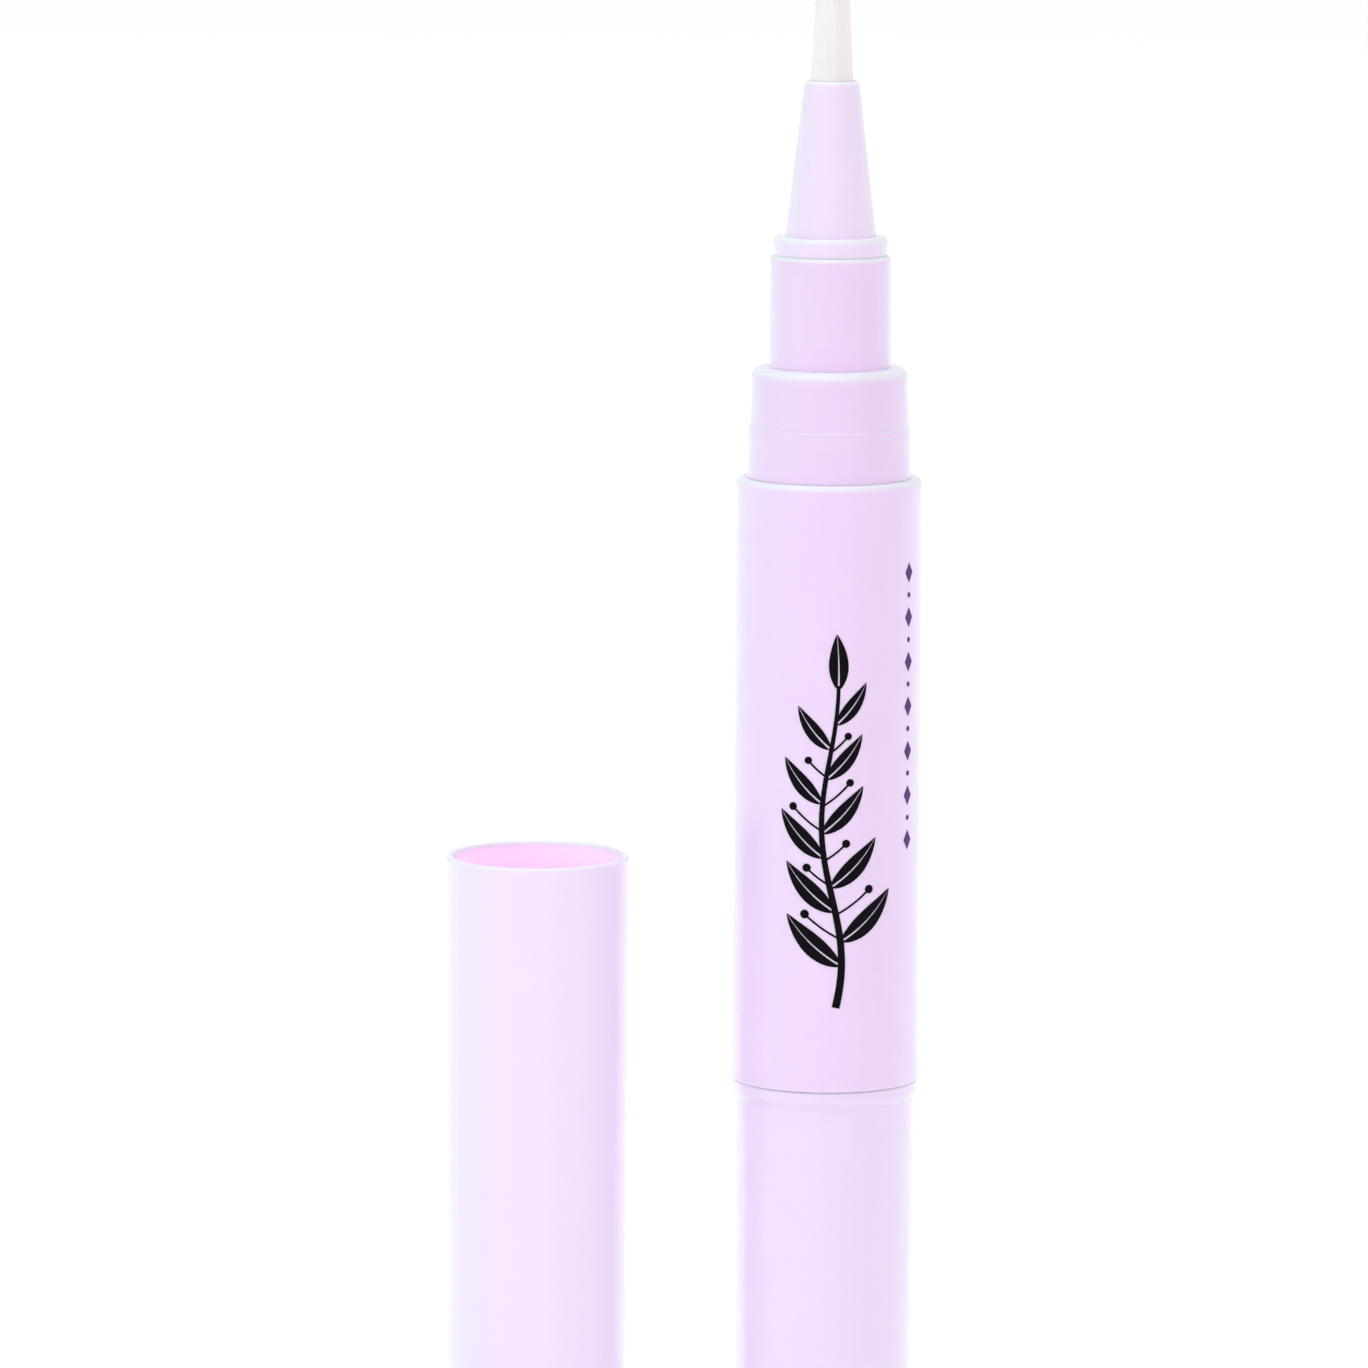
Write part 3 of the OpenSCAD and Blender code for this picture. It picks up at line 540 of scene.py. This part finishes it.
# Nut, drive sleeve, click ring and lead screw
# The screw drive that turns the knob's twist into the piston's push: white acetal, which runs well without
# grease.
drive_white = white_plastic("drive_white", (0.88, 0.88, 0.86), (0.82, 0.82, 0.80), 0.42)
for node in ("screw_nut", "drive_sleeve", "click_ring", "lead_screw"):
    put_on(node, drive_white)


# Piston
# The two-lipped plunger that pushes the oil forward, in soft milky polyethylene.
put_on("piston", milky)


# Knob
# The rear shell that the thumb turns: the barrel's plastic, with the same gloss, closed at the tail.
put_on("knob", lilac_plastic("knob_lilac", (0.872, 0.692, 0.897), (0.858, 0.665, 0.877), 0.34))


# Cap
# The outer cap stands beside the pen with its mouth up. It is the same plastic in a thinner wall, so it
# looks a little paler. The milky liner in it grips the pen's neck and keeps the brush wet.
cap_low, cap_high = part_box("cap_shell")
cap_mouth = Vector(((cap_low.x + cap_high.x) / 2, 0, cap_high.z))
cap_bore_r, cap_wall = 6.415, 0.6
# The inside of the cap's bore is painted a brighter pink and given a faint painted pink glow, for the light
# that soaks through the thin wall.
painted_inner_pink, painted_inner_glow = (0.98, 0.77, 0.98), (0.24, 0.1, 0.2)
painted_glow_lining = (painted_inner_pink, painted_inner_glow, cap_mouth, (cap_bore_r + cap_wall / 4) * mm)
put_on("cap_shell", lilac_plastic("cap_lilac", (0.895, 0.717, 0.905), (0.88, 0.689, 0.885), 0.36, painted_glow_lining))
put_on("inner_cap", white_plastic("liner_white", (0.88, 0.87, 0.89), (0.84, 0.82, 0.85), 0.38))


# Floor
# A plain white sweep that the pen and its cap stand on. Seen straight it is white, and it keeps their
# shadows.
finish, tree, place = new_finish("sweep")


def looked_at(tree):
    """1 where the ray shows a thing to the camera, straight or in a gloss, and 0 where it only lights."""
    hidden = 1
    for name in ("Camera", "Glossy", "Transmission"):
        hidden = (1 - tree.node("LightPath", out=f"Is {name} Ray")) * hidden
    return 1 - hidden


tooth = tree.noise(place, (40,) * 3)
paper = tree.node("BsdfDiffuse", {}, {"Color": tree.mix(tooth, (0.86, 0.86, 0.86), (0.84, 0.84, 0.84))})
shown_white = looked_at(tree) * 0.5
glow = tree.node("Emission", {}, {"Color": (1, 1, 1, 1), "Strength": shown_white})
tree.node("OutputMaterial", {}, {"Surface": tree.node("AddShader", {}, {0: paper, 1: glow})})

floor_half, floor_drop = 6, 0.02 * mm
floor_mesh = bpy.data.meshes.new("floor")
corners = [(x * floor_half, y * floor_half, -floor_drop) for x, y in ((-1, -1), (1, -1), (1, 1), (-1, 1))]
floor_mesh.from_pydata(corners, [], [(0, 1, 2, 3)])
floor_mesh.materials.append(finish)
floor = bpy.data.objects.new("floor", floor_mesh)
scene.collection.objects.link(floor)


# Light
# A white tent round the pen, dimmer on its left. Broad soft lamps stand to the left, to the right and
# behind, kept out of the gloss, and one more hangs overhead.
world = bpy.data.worlds.new("tent")
scene.world = world
world.use_nodes = True
world.node_tree.nodes.clear()
tree = Wire(world.node_tree)
to_the_right = tree.node("TexCoord", out="Generated").along(0) * 0.5 + 0.5
cloth = tree.mix(to_the_right, (0.36, 0.39, 0.41), (0.65, 0.655, 0.71))
tent = tree.node("Background", {}, {"Color": cloth, "Strength": 1.0})
white = tree.node("Background", {}, {"Color": (1, 1, 1, 1), "Strength": 1.0})
seen = tree.node("MixShader", {}, {0: looked_at(tree), 1: tent, 2: white})
tree.node("OutputWorld", {}, {"Surface": seen})

lamp_aim = Vector((0, 0, 0.07))


def soft_lamp(name, at, size, watts, colour):
    """A broad lamp that faces the middle of the pen, with its size in metres across and up."""
    lamp = bpy.data.objects.new(name, bpy.data.lights.new(name, "AREA"))
    lamp.data.shape = "RECTANGLE"
    lamp.data.size, lamp.data.size_y = size
    lamp.data.energy = watts
    lamp.data.color = colour
    lamp.location = at
    lamp.rotation_euler = (lamp_aim - Vector(at)).to_track_quat("-Z", "Y").to_euler()
    scene.collection.objects.link(lamp)
    return lamp


left_lamp = soft_lamp("left_lamp", (-1.17, -0.675, 0.45), (0.55, 1.2), 8.7, (0.93, 0.95, 1))
right_lamp = soft_lamp("right_lamp", (1.05, -0.95, 0.45), (0.9, 1.1), 6.6, (1, 0.79, 0.955))
back_lamp = soft_lamp("back_lamp", (0.1, 1.25, 0.5), (1.4, 1.0), 2.8, (1, 0.86, 0.98))
soft_lamp("top_lamp", (-0.1, -0.1, 1.3), (1.0, 1.0), 7.0, (0.79, 1, 0.8))
for lamp in (left_lamp, right_lamp, back_lamp):
    lamp.visible_glossy = False

scene.view_settings.view_transform = "Standard"
